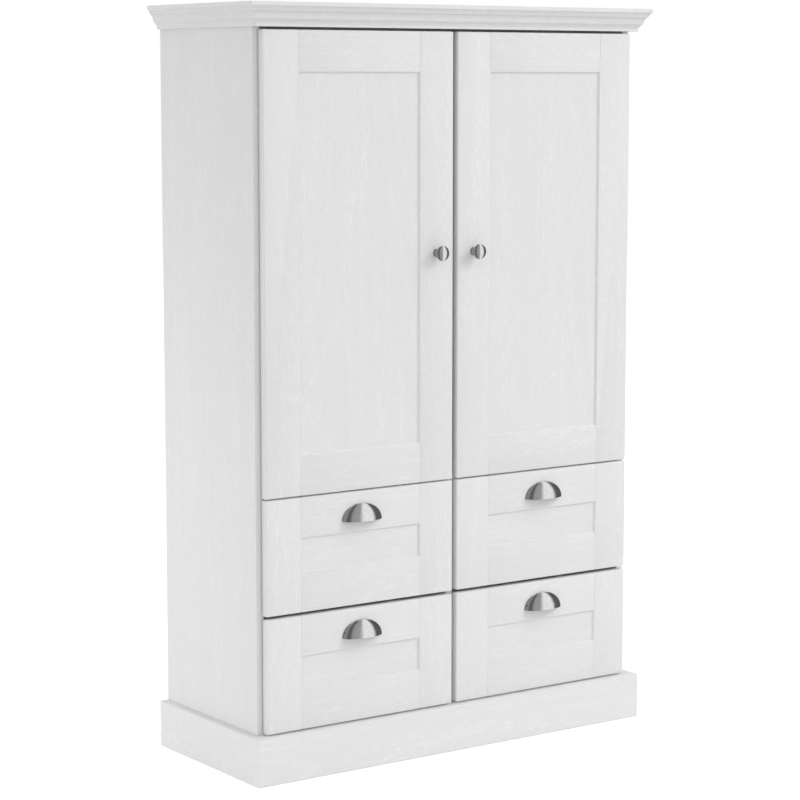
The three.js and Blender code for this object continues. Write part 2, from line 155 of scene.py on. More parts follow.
class Nodes:
    """The node tree of a material or world: add() makes a node and links or sets its inputs."""

    def __init__(self, owner, coordinates="Object"):
        owner.use_nodes = True
        self.owner = owner
        self.tree = owner.node_tree
        self.tree.nodes.clear()
        self.position = self.add("ShaderNodeTexCoord").outputs[coordinates]

    def add(self, kind, inputs=None, **settings):
        made = self.tree.nodes.new(kind)
        for key, value in settings.items():
            setattr(made, key, value)
        for key, value in (inputs or {}).items():
            if isinstance(value, bpy.types.NodeSocket):
                self.tree.links.new(value, made.inputs[key])
            else:
                made.inputs[key].default_value = value
        return made

    def stored(self, name, output):
        """A value that the mesh carries by name."""
        return self.add("ShaderNodeAttribute", attribute_name=name).outputs[output]

    def noise(self, scale, source=None, detail=3.0, roughness=0.55, output="Fac"):
        """Noise whose lumps are about 1 / scale metres long in x, y and z."""
        scaled = self.add("ShaderNodeMapping", {"Vector": source or self.position, "Scale": scale})
        made = self.add("ShaderNodeTexNoise", {
            "Vector": scaled.outputs["Vector"],
            "Scale": 1.0,
            "Detail": detail,
            "Roughness": roughness,
        })
        return made.outputs[output]

    def clouds(self, scale):
        """Even noise spread over 0 to 1."""
        return self.ranged(self.noise(uniform(scale)), 0.3, 0.7)

    def ranged(self, value, low, high, to_low=0.0, to_high=1.0):
        made = self.add("ShaderNodeMapRange", {
            "Value": value,
            "From Min": low,
            "From Max": high,
            "To Min": to_low,
            "To Max": to_high,
        })
        return made.outputs["Result"]

    def maths(self, operation, a, b=0.0):
        return self.add("ShaderNodeMath", {0: a, 1: b}, operation=operation).outputs[0]

    def total(self, *terms):
        """Adds up (value, weight) pairs."""
        result = None
        for value, weight in terms:
            term = self.maths("MULTIPLY", value, weight)
            result = term if result is None else self.maths("ADD", result, term)
        return result

    def vector_maths(self, operation, a, b=(0.0, 0.0, 0.0), output="Vector"):
        return self.add("ShaderNodeVectorMath", {0: a, 1: b}, operation=operation).outputs[output]

    def blend_colours(self, factor, a, b):
        made = self.add("ShaderNodeMix", data_type="RGBA")
        self.tree.links.new(factor, made.inputs["Factor"])
        for key, value in (("A", a), ("B", b)):
            socket = [s for s in made.inputs if s.name == key and s.type == "RGBA"][0]
            if isinstance(value, bpy.types.NodeSocket):
                self.tree.links.new(value, socket)
            else:
                socket.default_value = (*value, 1.0)
        return [s for s in made.outputs if s.type == "RGBA"][0]

    def bump(self, height, distance, strength=1.0):
        made = self.add("ShaderNodeBump", {"Height": height, "Distance": distance, "Strength": strength})
        return made.outputs["Normal"]

    def finish(self, **inputs):
        """Ends a material in one principled shader."""
        surface = self.add("ShaderNodeBsdfPrincipled", {
            key.replace("_", " "): value for key, value in inputs.items()
        })
        self.add("ShaderNodeOutputMaterial", {"Surface": surface.outputs["BSDF"]})
        return self.owner


def material_nodes(name):
    return Nodes(bpy.data.materials.new(name))


def white_board_material():
    """White foil with a pressed oak grain that runs along the grain attribute's z."""
    nodes = material_nodes("white_grained_foil")
    grain = nodes.stored("grain", "Vector")
    wander = nodes.noise(WANDER_SCALE, grain, detail=2.0, output="Color")
    wander = nodes.vector_maths("SUBTRACT", wander, uniform(0.5))
    wander = nodes.vector_maths("MULTIPLY", wander, WANDER)
    flow = nodes.vector_maths("ADD", grain, wander)
    dashes = nodes.ranged(nodes.noise(STREAK_SCALE, flow, roughness=0.65), 0.50, 0.74)
    bands = nodes.ranged(nodes.noise(BAND_SCALE, flow, detail=2.0), 0.38, 0.66, to_low=0.25)
    field = nodes.noise(RING_SCALE, flow, detail=1.0)
    rings = nodes.maths("SINE", nodes.maths("MULTIPLY", field, RINGS_PER_LUMP))
    rings = nodes.ranged(rings, 0.2, 1.0)
    broken = nodes.ranged(nodes.noise(BREAK_SCALE, flow, detail=2.0), 0.42, 0.60)
    lively = nodes.maths("MULTIPLY", dashes, bands)
    figure = nodes.maths("MULTIPLY", rings, broken)
    drift = nodes.noise(DRIFT_SCALE, grain)
    tone = nodes.total((lively, 1.00), (figure, 0.22), (drift, 0.26))
    foil = nodes.blend_colours(nodes.ranged(tone, 0.1, 0.8), uniform(FOIL_GREY), uniform(FOIL_WHITE))
    worn = nodes.stored("edge", "Fac")
    rub = nodes.ranged(nodes.noise(uniform(RUB_SCALE)), 0.35, 0.7, to_low=0.1, to_high=0.6)
    colour = nodes.blend_colours(nodes.maths("MULTIPLY", worn, rub), foil, RUBBED_COLOUR)
    pores = nodes.ranged(nodes.noise(PORE_SCALE, flow, detail=2.0), 0.56, 0.72)
    relief = nodes.total((lively, 0.8), (figure, 0.3), (pores, -0.5))
    return nodes.finish(
        Base_Color=colour,
        Roughness=nodes.ranged(tone, 0.1, 0.8, to_low=0.56, to_high=0.46),
        Normal=nodes.bump(relief, 0.10 * MM, 0.7),
        Specular_IOR_Level=0.35,
    )


def hardboard_material():
    """Thin fibreboard with a matt white coat over a fine felted texture."""
    nodes = material_nodes("coated_hardboard")
    fibres = nodes.noise(uniform(FIBRE_SCALE), detail=5.0, roughness=0.7)
    patches = nodes.noise(uniform(PATCH_SCALE))
    tone = nodes.ranged(nodes.total((fibres, 0.7), (patches, 0.3)), 0.35, 0.65)
    return nodes.finish(
        Base_Color=nodes.blend_colours(tone, (0.70, 0.695, 0.68), (0.77, 0.765, 0.75)),
        Roughness=nodes.ranged(fibres, 0.3, 0.7, to_low=0.62, to_high=0.8),
        Normal=nodes.bump(fibres, 0.12 * MM, 0.7),
        Specular_IOR_Level=0.3,
    )


def metal_material(name, colours, roughness, lines, cloud, relief):
    """A metal whose fine lines are 1 / lines metres apart in x, y and z, with cloudy tone."""
    nodes = material_nodes(name)
    brushing = nodes.noise(lines, roughness=0.6)
    return nodes.finish(
        Base_Color=nodes.blend_colours(nodes.clouds(cloud), *colours),
        Metallic=1.0,
        Roughness=nodes.ranged(brushing, 0.3, 0.7, *roughness),
        Normal=nodes.bump(brushing, 0.03 * MM, relief),
    )


def nickel_material():
    """Satin nickel brushed in level lines."""
    colours = ((0.57, 0.57, 0.565), (0.63, 0.63, 0.625))
    return metal_material("brushed_nickel", colours, (0.08, 0.15), BRUSHING_SCALE, 120.0, 0.4)


def steel_material():
    """Bright zinc plating on pressed steel."""
    colours = ((0.55, 0.56, 0.575), (0.66, 0.665, 0.67))
    return metal_material("zinc_plated_steel", colours, (0.24, 0.38), uniform(PLATING_SCALE), 70.0, 0.5)


def coated_material(name, colours, roughness, grain, cloud, relief):
    """Moulded or sprayed white surface with a fine texture and slight handling marks."""
    nodes = material_nodes(name)
    texture = nodes.noise(uniform(grain), detail=2.0)
    return nodes.finish(
        Base_Color=nodes.blend_colours(nodes.clouds(cloud), *colours),
        Roughness=nodes.ranged(texture, 0.3, 0.7, *roughness),
        Normal=nodes.bump(texture, 0.04 * MM, relief),
    )


def enamel_material():
    """Sprayed coat of the drawer runners."""
    colours = ((0.74, 0.74, 0.73), (0.80, 0.80, 0.79))
    return coated_material("white_epoxy_steel", colours, (0.30, 0.42), 650.0, 30.0, 0.6)


def nylon_material():
    """Moulded shelf pins and drawer shoes."""
    colours = ((0.66, 0.655, 0.635), (0.73, 0.725, 0.70))
    return coated_material("white_nylon", colours, (0.36, 0.50), 260.0, 90.0, 0.5)


def floor_material():
    """Pale matt studio floor: dimmer far out, but lifted to white where it is seen."""
    nodes = material_nodes("pale_floor")
    mottle = nodes.clouds(FLOOR_SCALE)
    far = nodes.ranged(nodes.vector_maths("LENGTH", nodes.position, output="Value"), 1.2, 3.5)
    near_colour = nodes.blend_colours(mottle, uniform(0.88), uniform(0.90))
    seen = nodes.add("ShaderNodeLightPath").outputs["Is Camera Ray"]
    lift = nodes.ranged(far, 0.0, 1.0, to_low=FLOOR_LIFT, to_high=3.0 * FLOOR_LIFT)
    return nodes.finish(
        Base_Color=nodes.blend_colours(far, near_colour, uniform(0.50)),
        Roughness=nodes.ranged(mottle, 0.0, 1.0, to_low=0.85, to_high=0.95),
        Specular_IOR_Level=0.0,
        Emission_Color=(*uniform(1.0), 1.0),
        Emission_Strength=nodes.maths("MULTIPLY", seen, lift),
    )


BOARD = white_board_material()
HARDBOARD = hardboard_material()
NICKEL = nickel_material()
STEEL = steel_material()
ENAMEL = enamel_material()
NYLON = nylon_material()


# ---- mesh helpers --------------------------------------------------------------------

GRAIN_ORDER = {"x": (2, 1, 0), "y": (0, 2, 1), "z": (0, 1, 2)}
GRAIN_SHIFT = (0.37, 0.11, 0.73)
SMALL = 1e-6
SQUARE = 0.9995
CREASE = 35
grain_seeds = itertools.count(1)


def write_grain(mesh, axis):
    """Stores texture coordinates whose z runs along the grain, shifted for each piece."""
    seed = next(grain_seeds)
    order = GRAIN_ORDER[axis]
    values = []
    for vertex in mesh.vertices:
        values.extend(vertex.co[order[i]] + GRAIN_SHIFT[i] * seed for i in range(3))
    layer = mesh.attributes.new("grain", "FLOAT_VECTOR", "POINT")
    layer.data.foreach_set("vector", values)


def is_level(normal):
    """True for a face that is square to an axis, so not part of a rounded edge."""
    return max(abs(c) for c in normal) > SQUARE


def write_edges(mesh):
    """Marks the faces of rounded edges, and shades them smooth between flat boards."""
    layer = mesh.attributes.new("edge", "FLOAT", "FACE")
    for polygon in mesh.polygons:
        rounded = not is_level(polygon.normal)
        polygon.use_smooth = rounded
        layer.data[polygon.index].value = 1.0 if rounded else 0.0
    mesh.set_sharp_from_angle(angle=math.radians(CREASE))


def smooth_by_angle(mesh, degrees=CREASE):
    """Shades the mesh smooth, except at edges sharper than the angle."""
    for polygon in mesh.polygons:
        polygon.use_smooth = True
    mesh.set_sharp_from_angle(angle=math.radians(degrees))


def link_object(name, mesh):
    made = bpy.data.objects.new(name, mesh)
    bpy.context.scene.collection.objects.link(made)
    return made


def place(name, mesh, material, body, nodes=(), grain="z", crease=CREASE):
    """Makes the piece from a mesh in the row frame, says what it rides on, and hides the CAD parts it takes
    the place of.
    """
    piece = link_object(name, mesh)
    mesh.materials.clear()
    mesh.materials.append(material)
    if material is BOARD:
        write_grain(mesh, grain)
        write_edges(mesh)
    elif material is not HARDBOARD:
        smooth_by_angle(mesh, crease)
    piece.visible_glossy = material not in (BOARD, HARDBOARD)
    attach(piece, body)
    if nodes:
        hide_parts(*nodes)


def to_mesh(bm, name):
    bmesh.ops.recalc_face_normals(bm, faces=bm.faces[:])
    mesh = bpy.data.meshes.new(name)
    bm.to_mesh(mesh)
    bm.free()
    return mesh


def box_bmesh(low, high):
    bm = bmesh.new()
    bmesh.ops.create_cube(bm, size=1.0)
    for vertex in bm.verts:
        for i in range(3):
            vertex.co[i] = high[i] if vertex.co[i] > 0 else low[i]
    return bm


def loft(rings):
    """A closed bmesh through rings of corners, flat at its first and last ring."""
    bm = bmesh.new()
    loops = [[bm.verts.new(corner) for corner in ring] for ring in rings]
    for one, two in zip(loops, loops[1:]):
        for i in range(len(one)):
            j = (i + 1) % len(one)
            bm.faces.new((one[i], one[j], two[j], two[i]))
    bm.faces.new(loops[0])
    bm.faces.new(list(reversed(loops[-1])))
    bmesh.ops.recalc_face_normals(bm, faces=bm.faces[:])
    return bm


def turned(profile, segments=64):
    """A bmesh turned about Y from (radius, distance along -Y) points that start and end at 0."""
    bm = bmesh.new()
    rings = []
    for radius, reach in profile:
        if radius < SMALL:
            rings.append([bm.verts.new((0.0, -reach, 0.0))])
            continue
        ring = []
        for i in range(segments):
            angle = 2 * math.pi * i / segments
            ring.append(bm.verts.new((radius * math.cos(angle), -reach, radius * math.sin(angle))))
        rings.append(ring)
    for a, b in zip(rings, rings[1:]):
        for i in range(segments):
            j = (i + 1) % segments
            corners = [a[i % len(a)], a[j % len(a)], b[j % len(b)], b[i % len(b)]]
            unique = list(dict.fromkeys(corners))
            if len(unique) > 2:
                bm.faces.new(unique)
    return bm


def soften(bm, edge, segments=3, edges=None):
    """Rounds the given edges, or all of them."""
    bmesh.ops.bevel(
        bm, geom=edges or bm.edges[:], offset=edge, offset_type="OFFSET", segments=segments,
        profile=0.5, affect="EDGES", clamp_overlap=True,
    )
    return bm


def rounded_box(name, low, high, edge, segments=3):
    return to_mesh(soften(box_bmesh(low, high), edge, segments), name)


def moved(mesh, centre, axis):
    """Turns a mesh made along -Y to point along axis, and moves it to centre."""
    turn = Vector((0, -1, 0)).rotation_difference(Vector(axis)).to_matrix().to_4x4()
    mesh.transform(Matrix.Translation(centre) @ turn)
    return mesh


def board(node, body="carcass", grain="x", edge=BOARD_EDGE, material=BOARD):
    low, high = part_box(node)
    place(node + "_board", rounded_box(node + "_board", low, high, edge), material, body, [node], grain)


def cutter_from(bm, name):
    return link_object(name, to_mesh(bm, name))


def round_cutter(radius, depth, segments):
    """Cuts a blind round hole along -Y, from a little way outside the surface."""
    outside = -1 * MM
    return turned([(0.0, outside), (radius, outside), (radius, depth), (0.0, depth)], segments)


def carved(name, mesh, cutters, rounding=0.0):
    """The mesh, its weighted edges rounded, with the shapes of the cutters taken out of it."""
    carrier = link_object("carrier", mesh)
    if rounding:
        bevel = carrier.modifiers.new("bevel", "BEVEL")
        bevel.width = rounding
        bevel.segments = 3
        bevel.limit_method = "WEIGHT"
    for cutter in cutters:
        difference = carrier.modifiers.new("boolean", "BOOLEAN")
        difference.object = cutter
        difference.operation = "DIFFERENCE"
        difference.solver = "EXACT"
    graph = bpy.context.evaluated_depsgraph_get()
    result = bpy.data.meshes.new_from_object(carrier.evaluated_get(graph))
    result.name = name
    bpy.data.objects.remove(carrier)
    return result


def remove_all(objects):
    for item in objects:
        bpy.data.objects.remove(item)


def middle_of(low, high):
    """Halfway between two corners."""
    return (low + high) / 2


# ---- mitred runs: cornice and plinth --------------------------------------------------

def run_mesh(name, profile, start, end, outward, mitre_start, mitre_end):
    """A straight run from start to end whose ends are cut at 45 degrees or square."""
    along = (end - start).normalized()
    rings = []
    for point, sign, mitred in ((start, -1, mitre_start), (end, 1, mitre_end)):
        ring = []
        for out, up in profile:
            slide = sign * (out - MITRE_GAP) if mitred else 0.0
            ring.append(point + outward * out + along * slide + Vector((0, 0, up)))
        rings.append(ring)
    return to_mesh(loft(rings), name)


def bowed(start, end, pull, steps=4):
    """Points of a curve from start to end that leans towards pull."""
    points = []
    for i in range(steps + 1):
        t = i / steps
        point = start * (1 - t) ** 2 + pull * 2 * t * (1 - t) + end * t ** 2
        points.append((point.x, point.y))
    return points


def cornice_profile(height, overhang):
    """Upright bands joined by shallow hollows, with softened corners; (out, up) from the bottom."""
    # How far out each band starts and leans, and its bottom and top.
    bands = (
        (6.5 * MM, 0.0, 0.0, 5 * MM),
        (13.5 * MM, 2 * MM, 14 * MM, 21.5 * MM),
        (21 * MM, 2 * MM, 28 * MM, 32 * MM),
        (overhang, 0.0, 36.5 * MM, height),
    )
    corners = []
    for out, lean, bottom, top in bands:
        corners += [Vector((out, bottom)), Vector((out + lean, top))]
    points = [(0.0, 0.0)]
    for i, corner in enumerate(corners):
        before = corners[i - 1] if i else Vector((0.0, 0.0))
        after = corners[i + 1] if i + 1 < len(corners) else Vector((0.0, height))
        start = corner + (before - corner).normalized() * CORNICE_SOFT
        end = corner + (after - corner).normalized() * CORNICE_SOFT
        points += bowed(start, end, corner)
        hollow_above = i % 2 and i + 1 < len(corners)
        if hollow_above:
            top = after + (corner - after).normalized() * CORNICE_SOFT
            pull = (end + top) / 2 + Vector((-CORNICE_HOLLOW, CORNICE_HOLLOW))
            points += bowed(end, top, pull)[1:-1]
    points.append((0.0, height))
    return points


def plinth_profile(height, thickness):
    """An upright board with a rounded top edge and a small flat below; (out, up) from the bottom."""
    points = [(0.0, 0.0), (thickness - PLINTH_EDGE / 2, 0.0), (thickness, PLINTH_EDGE / 2)]
    steps = 4
    for i in range(steps + 1):
        angle = math.pi / 2 * i / steps
        out = thickness - PLINTH_EDGE * (1 - math.cos(angle))
        points.append((out, height - PLINTH_EDGE * (1 - math.sin(angle))))
    points.append((0.0, height))
    return points


def build_runs():
    """The cornice and plinth, each as a front and two side runs."""
    carcass_low, carcass_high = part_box("bottom_panel")
    for kind, profile_of in (("cornice", cornice_profile), ("plinth", plinth_profile)):
        low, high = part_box(kind + "_left")
        profile = profile_of(high.z - low.z, high.x - low.x)
        corner_left = Vector((carcass_low.x, carcass_low.y, low.z))
        corner_right = Vector((carcass_high.x, carcass_low.y, low.z))
        back_left = Vector((carcass_low.x, carcass_high.y, low.z))
        back_right = Vector((carcass_high.x, carcass_high.y, low.z))
        runs = (
            ("front", corner_left, corner_right, Vector((0, -1, 0)), True, True, "x"),
            ("left", back_left, corner_left, Vector((-1, 0, 0)), False, True, "y"),
            ("right", corner_right, back_right, Vector((1, 0, 0)), True, False, "y"),
        )
        for name, start, end, outward, mitre_start, mitre_end, grain in runs:
            node = f"{kind}_{name}"
            mesh = run_mesh(node + "_run", profile, start, end, outward, mitre_start, mitre_end)
            place(node + "_run", mesh, BOARD, "carcass", [node], grain)


# ---- framed fronts --------------------------------------------------------------------

def opening_cutter(low, high, face_y, recess, back_y):
    """Slopes a frame's opening from its face down to its panel, and makes room for the panel."""
    slope = math.atan2(recess, OPENING_SLOPE)
    tangent = OPENING_EDGE * math.tan(slope / 2)
    beyond = 2 * MM
    # How far behind the face each ring of the cutter is, and how much wider than the opening.
    levels = [(-beyond, tangent)]
    steps = 4
    for i in range(steps + 1):
        angle = slope * i / steps
        levels.append((OPENING_EDGE * (1 - math.cos(angle)), tangent - OPENING_EDGE * math.sin(angle)))
    levels += [(recess, -OPENING_SLOPE), (recess, 0.0), (back_y - face_y + beyond, 0.0)]
    rings = []
    for behind, grow in levels:
        y = face_y + behind
        left, right = low[0] - grow, high[0] + grow
        bottom, top = low[1] - grow, high[1] + grow
        rings.append([(left, y, bottom), (right, y, bottom), (right, y, top), (left, y, top)])
    return cutter_from(loft(rings), "opening_cutter")


def member_mesh(name, outline, low, high, joints, cutters):
    """One stile or rail from its (x, z) outline: outer edges are rounder than its joints."""
    mesh = to_mesh(loft([[(x, y, z) for x, z in outline] for y in (low.y, high.y)]), name)
    weights = mesh.attributes.new("bevel_weight_edge", "FLOAT", "EDGE")
    for edge in mesh.edges:
        at = middle_of(*(mesh.vertices[i].co for i in edge.vertices))
        rim = min(at.x - low.x, high.x - at.x, at.z - low.z, high.z - at.z)
        on_joint = min(abs(at.x - x) for x in joints)
        if rim < SMALL:
            weights.data[edge.index].value = 1.0
        elif on_joint < SMALL:
            weights.data[edge.index].value = JOINT_EDGE / FRONT_EDGE
    result = carved(name, mesh, cutters, FRONT_EDGE)
    result.attributes.remove(result.attributes["bevel_weight_edge"])
    return result


def framed_front(label, low, high, rail, body, panel_y, nodes, pockets=()):
    """Two full-height stiles, two rails between them, sloping in to a recessed panel."""
    left, right, bottom, top = low.x, high.x, low.z, high.z
    in_left, in_right, in_bottom, in_top = left + STILE, right - STILE, bottom + rail, top - rail
    lip_left, lip_right = in_left + OPENING_SLOPE, in_right - OPENING_SLOPE
    lip_bottom, lip_top = in_bottom + OPENING_SLOPE, in_top - OPENING_SLOPE

    def stile(edge, inner, lip):
        return [
            (edge, bottom), (inner, bottom), (inner, in_bottom), (lip, lip_bottom),
            (lip, lip_top), (inner, in_top), (inner, top), (edge, top),
        ]

    def cross_rail(edge, inner, lip):
        return [
            (in_left, edge), (in_right, edge), (in_right, inner),
            (lip_right, lip), (lip_left, lip), (in_left, inner),
        ]

    members = {
        "left_stile": (stile(left, in_left, lip_left), "z"),
        "right_stile": (stile(right, in_right, lip_right), "z"),
        "bottom_rail": (cross_rail(bottom, in_bottom, lip_bottom), "x"),
        "top_rail": (cross_rail(top, in_top, lip_top), "x"),
    }
    opening = opening_cutter((in_left, in_bottom), (in_right, in_top), low.y, panel_y[0] - low.y, high.y)
    for part, (outline, grain) in members.items():
        name = f"{label}_{part}"
        cutters = [opening] + list(pockets if nodes[part][0].endswith("hinge_stile") else ())
        mesh = member_mesh(name, outline, low, high, (in_left, in_right), cutters)
        place(name + "_wood", mesh, BOARD, body, nodes[part], grain)
    remove_all([opening])
    panel_grain = "z" if in_top - in_bottom > in_right - in_left else "x"
    panel_low, panel_high = (in_left, panel_y[0], in_bottom), (in_right, panel_y[1], in_top)
    mesh = rounded_box(label + "_panel", panel_low, panel_high, 0.15 * MM, 1)
    place(label + "_panel_wood", mesh, BOARD, body, nodes["panel"], panel_grain)


# ---- knobs and pulls ------------------------------------------------------------------

def knob_head_profile(reach, radius):
    """Domed head with a rounded underside, as (radius, distance from the door)."""
    dome_height = 8.2 * MM
    under_height = 5.0 * MM
    head_at = reach - dome_height
    under_turn, under_steps, dome_steps = 68, 12, 16
    points = [(0.0, head_at - under_height * math.sin(math.radians(under_turn)))]
    for i in range(under_steps + 1):
        angle = math.radians(under_turn * (i / under_steps - 1))
        points.append((radius * math.cos(angle), head_at + under_height * math.sin(angle)))
    for i in range(1, dome_steps):
        angle = math.pi / 2 * i / dome_steps
        points.append((radius * math.cos(angle), head_at + dome_height * math.sin(angle)))
    points.append((0.0, reach))
    return points


def knob_base_profile(base_radius, neck, top):
    """Stepped base disc that sweeps up into the neck."""
    disc, step = 1.0 * MM, 1.9 * MM
    shoulder = base_radius - 1.2 * MM
    points = [
        (0.0, 0.0), (base_radius, 0.0), (base_radius, disc),
        (base_radius - 0.3 * MM, 1.5 * MM), (base_radius - 1.0 * MM, step),
    ]
    steps, sweep = 10, 2.4
    for i in range(1, steps + 1):
        t = i / steps
        points.append((neck + (shoulder - neck) * (1 - t) ** sweep, step + (top - step) * t))
    points.append((0.0, top))
    return points


def build_knob(side):
    node = f"knob_{side}"
    low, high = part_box(node)
    centre = middle_of(low, high)
    centre.y = high.y
    head = knob_head_profile(high.y - low.y, (high.x - low.x) / 2)
    base_radius, neck_radius, neck_top = 8.5 * MM, 5.0 * MM, 15.0 * MM
    base = knob_base_profile(base_radius, neck_radius, neck_top)
    for part, profile in (("head", head), ("base", base)):
        mesh = to_mesh(turned(profile, 72), f"{node}_{part}")
        mesh.transform(Matrix.Translation(centre))
        place(f"{node}_{part}", mesh, NICKEL, f"door_{side}", [node], crease=40)


def pull_mesh(name, width, reach, height):
    """Half-dome shell with a thin flange: rows of points from the rim over the dome and back."""
    flange, flange_thickness, wall = 1.3 * MM, 1.6 * MM, 1.8 * MM
    across, rise = 72, 18
    dome_half, dome_height = width / 2 - flange, height - flange
    bm = bmesh.new()
    rows = []

    def row(point_at):
        rows.append([bm.verts.new(point_at(math.pi * i / across)) for i in range(across + 1)])

    def dome(inset, tilt, least):
        swing, lift = math.cos(tilt), math.sin(tilt)
        return lambda u: (
            (dome_half - inset) * math.cos(u),
            -max(least, (reach - inset) * math.sin(u) * swing),
            (dome_height - inset) * math.sin(u) * lift,
        )

    def rim(y):
        return lambda u: (width / 2 * math.cos(u), y, height * math.sin(u))

    for j in range(rise + 1):
        row(dome(0.0, math.pi / 2 * j / rise, flange_thickness))
    row(rim(-flange_thickness))
    row(rim(0.0))
    for j in range(rise, -1, -1):
        row(dome(wall, math.pi / 2 * j / rise, 0.0))
    for first, second in zip(rows, rows[1:] + rows[:1]):
        for i in range(across):
            bm.faces.new((first[i], first[i + 1], second[i + 1], second[i]))
    for end in (0, across):
        bm.faces.new([r[end] for r in rows])
    merge = 0.002 * MM
    bmesh.ops.remove_doubles(bm, verts=bm.verts[:], dist=merge)
    bmesh.ops.dissolve_degenerate(bm, edges=bm.edges[:], dist=merge)
    return to_mesh(bm, name)


def build_pull(row, side):
    node = f"drawer_{row}_{side}_pull"
    low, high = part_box(node)
    mesh = pull_mesh(node + "_metal", high.x - low.x, high.y - low.y, high.z - low.z)
    mesh.transform(Matrix.Translation(((low.x + high.x) / 2, high.y, low.z)))
    place(node + "_metal", mesh, NICKEL, f"drawer_{row}_{side}", [node], crease=50)


# ---- carcass, doors and drawers -------------------------------------------------------

def build_carcass():
    for node in ("bottom_panel", "top_board", "cornice_rail", "middle_panel", "shelf_lower", "shelf_upper"):
        board(node)
    board("drawer_divider", grain="z")
    for side in SIDES:
        build_side_panel(side)
    build_back()
    build_shelf_pins()


def pin_rows(low, high):
    """The y of the front and back rows of shelf pins."""
    return low.y + PIN_INSET, high.y - PIN_INSET


def build_side_panel(side):
    """A side panel drilled inside with two rows of holes for the shelf pins."""
    node = f"side_panel_{side}"
    low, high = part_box(node)
    sign = SIDES[side]
    inner_x = low.x if sign > 0 else high.x
    shelf_low, shelf_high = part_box("shelf_lower")
    below, above = 5, 16
    holes = bmesh.new()
    for y in pin_rows(shelf_low, shelf_high):
        for i in range(-below, above):
            at = Vector((inner_x, y, shelf_low.z - PIN_RADIUS + i * PIN_PITCH))
            drill = moved(to_mesh(round_cutter(PIN_RADIUS, PIN_DEPTH, 16), "drill"), at, (sign, 0, 0))
            holes.from_mesh(drill)
            bpy.data.meshes.remove(drill)
    cutter = cutter_from(holes, "pin_holes")
    mesh = carved(node + "_board", rounded_box(node, low, high, BOARD_EDGE), [cutter])
    remove_all([cutter])
    place(node + "_board", mesh, BOARD, "carcass", [node], "z")


def build_shelf_pins():
    """Four nylon pins under each shelf."""
    collar, collar_thickness, blunt = 4.0 * MM, 1.0 * MM, 0.6 * MM
    profile = [
        (0.0, 0.0), (collar, 0.0), (collar, collar_thickness), (PIN_RADIUS, 1.4 * MM),
        (PIN_RADIUS, PIN_DEPTH - blunt), (PIN_RADIUS - blunt, PIN_DEPTH), (0.0, PIN_DEPTH),
    ]
    for shelf in ("shelf_lower", "shelf_upper"):
        low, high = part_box(shelf)
        for side, sign in SIDES.items():
            panel_low, panel_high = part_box(f"side_panel_{side}")
            inner_x = panel_low.x if sign > 0 else panel_high.x
            for row, y in zip(("front", "back"), pin_rows(low, high)):
                name = f"{shelf}_pin_{side}_{row}"
                at = Vector((inner_x, y, low.z - PIN_RADIUS))
                mesh = moved(to_mesh(turned(profile, 24), name), at, (-sign, 0, 0))
                place(name, mesh, NYLON, "carcass")


def build_back():
    """The back panel, nailed round its edge; the nail heads reach the CAD's back face."""
    low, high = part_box("back_panel")
    face = high.y - NAIL_PROUD
    mesh = rounded_box("back_panel_board", low, (high.x, face, high.z), 0.4 * MM)
    place("back_panel_board", mesh, HARDBOARD, "carcass", ["back_panel"])
    inset = 9 * MM
    left, right, bottom, top = low.x + inset, high.x - inset, low.z + inset, high.z - inset
    across, up = 7, 10
    spots = []
    for i in range(across + 1):
        x = left + (right - left) * i / across
        spots += [(x, bottom), (x, top)]
    for i in range(1, up):
        z = bottom + (top - bottom) * i / up
        spots += [(left, z), (right, z)]
    radius = 2.6 * MM
    profile = [
        (0.0, 0.0), (radius, 0.0), (radius * 0.9, NAIL_PROUD * 0.5),
        (radius * 0.5, NAIL_PROUD * 0.9), (0.0, NAIL_PROUD),
    ]
    for i, (x, z) in enumerate(spots):
        name = f"back_nail_{i + 1:02d}"
        nail = moved(to_mesh(turned(profile, 16), name), Vector((x, face, z)), (0, 1, 0))
        place(name, nail, STEEL, "carcass", crease=60)


def build_door(side):
    body = f"door_{side}"
    stiles = [f"{body}_hinge_stile", f"{body}_closing_stile"]
    if SIDES[side] > 0:
        stiles.reverse()
    low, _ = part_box(stiles[0])
    _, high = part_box(stiles[1])
    panel_low, panel_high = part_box(f"{body}_panel")
    nodes = {
        "left_stile": [stiles[0]],
        "right_stile": [stiles[1]],
        "bottom_rail": [f"{body}_bottom_rail"],
        "top_rail": [f"{body}_top_rail"],
        "panel": [f"{body}_panel"],
    }
    pockets = []
    for hinge in HINGES:
        centre = middle_of(*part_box(f"hinge_cup_{side}_{hinge}"))
        centre.y = high.y
        pocket = round_cutter(CUP_POCKET_RADIUS, CUP_POCKET_DEPTH, 48)
        bmesh.ops.translate(pocket, verts=pocket.verts[:], vec=centre)
        pockets.append(cutter_from(pocket, "cup_pocket"))
    framed_front(body, low, high, DOOR_RAIL, body, (panel_low.y, panel_high.y), nodes, pockets)
    remove_all(pockets)
    build_knob(side)


def drawer_box_mesh(name, low, high):
    """Sides and back in one wrapped length, open at the front, with rounded upper edges."""
    in_left, in_right, in_back = low.x + DRAWER_BOARD, high.x - DRAWER_BOARD, high.y - DRAWER_BOARD
    outline = [
        (low.x, low.y), (in_left, low.y), (in_left, in_back), (in_right, in_back),
        (in_right, low.y), (high.x, low.y), (high.x, high.y), (low.x, high.y),
    ]
    bm = loft([[(x, y, z) for x, y in outline] for z in (low.z, high.z)])
    return to_mesh(soften(bm, BOARD_EDGE), name)


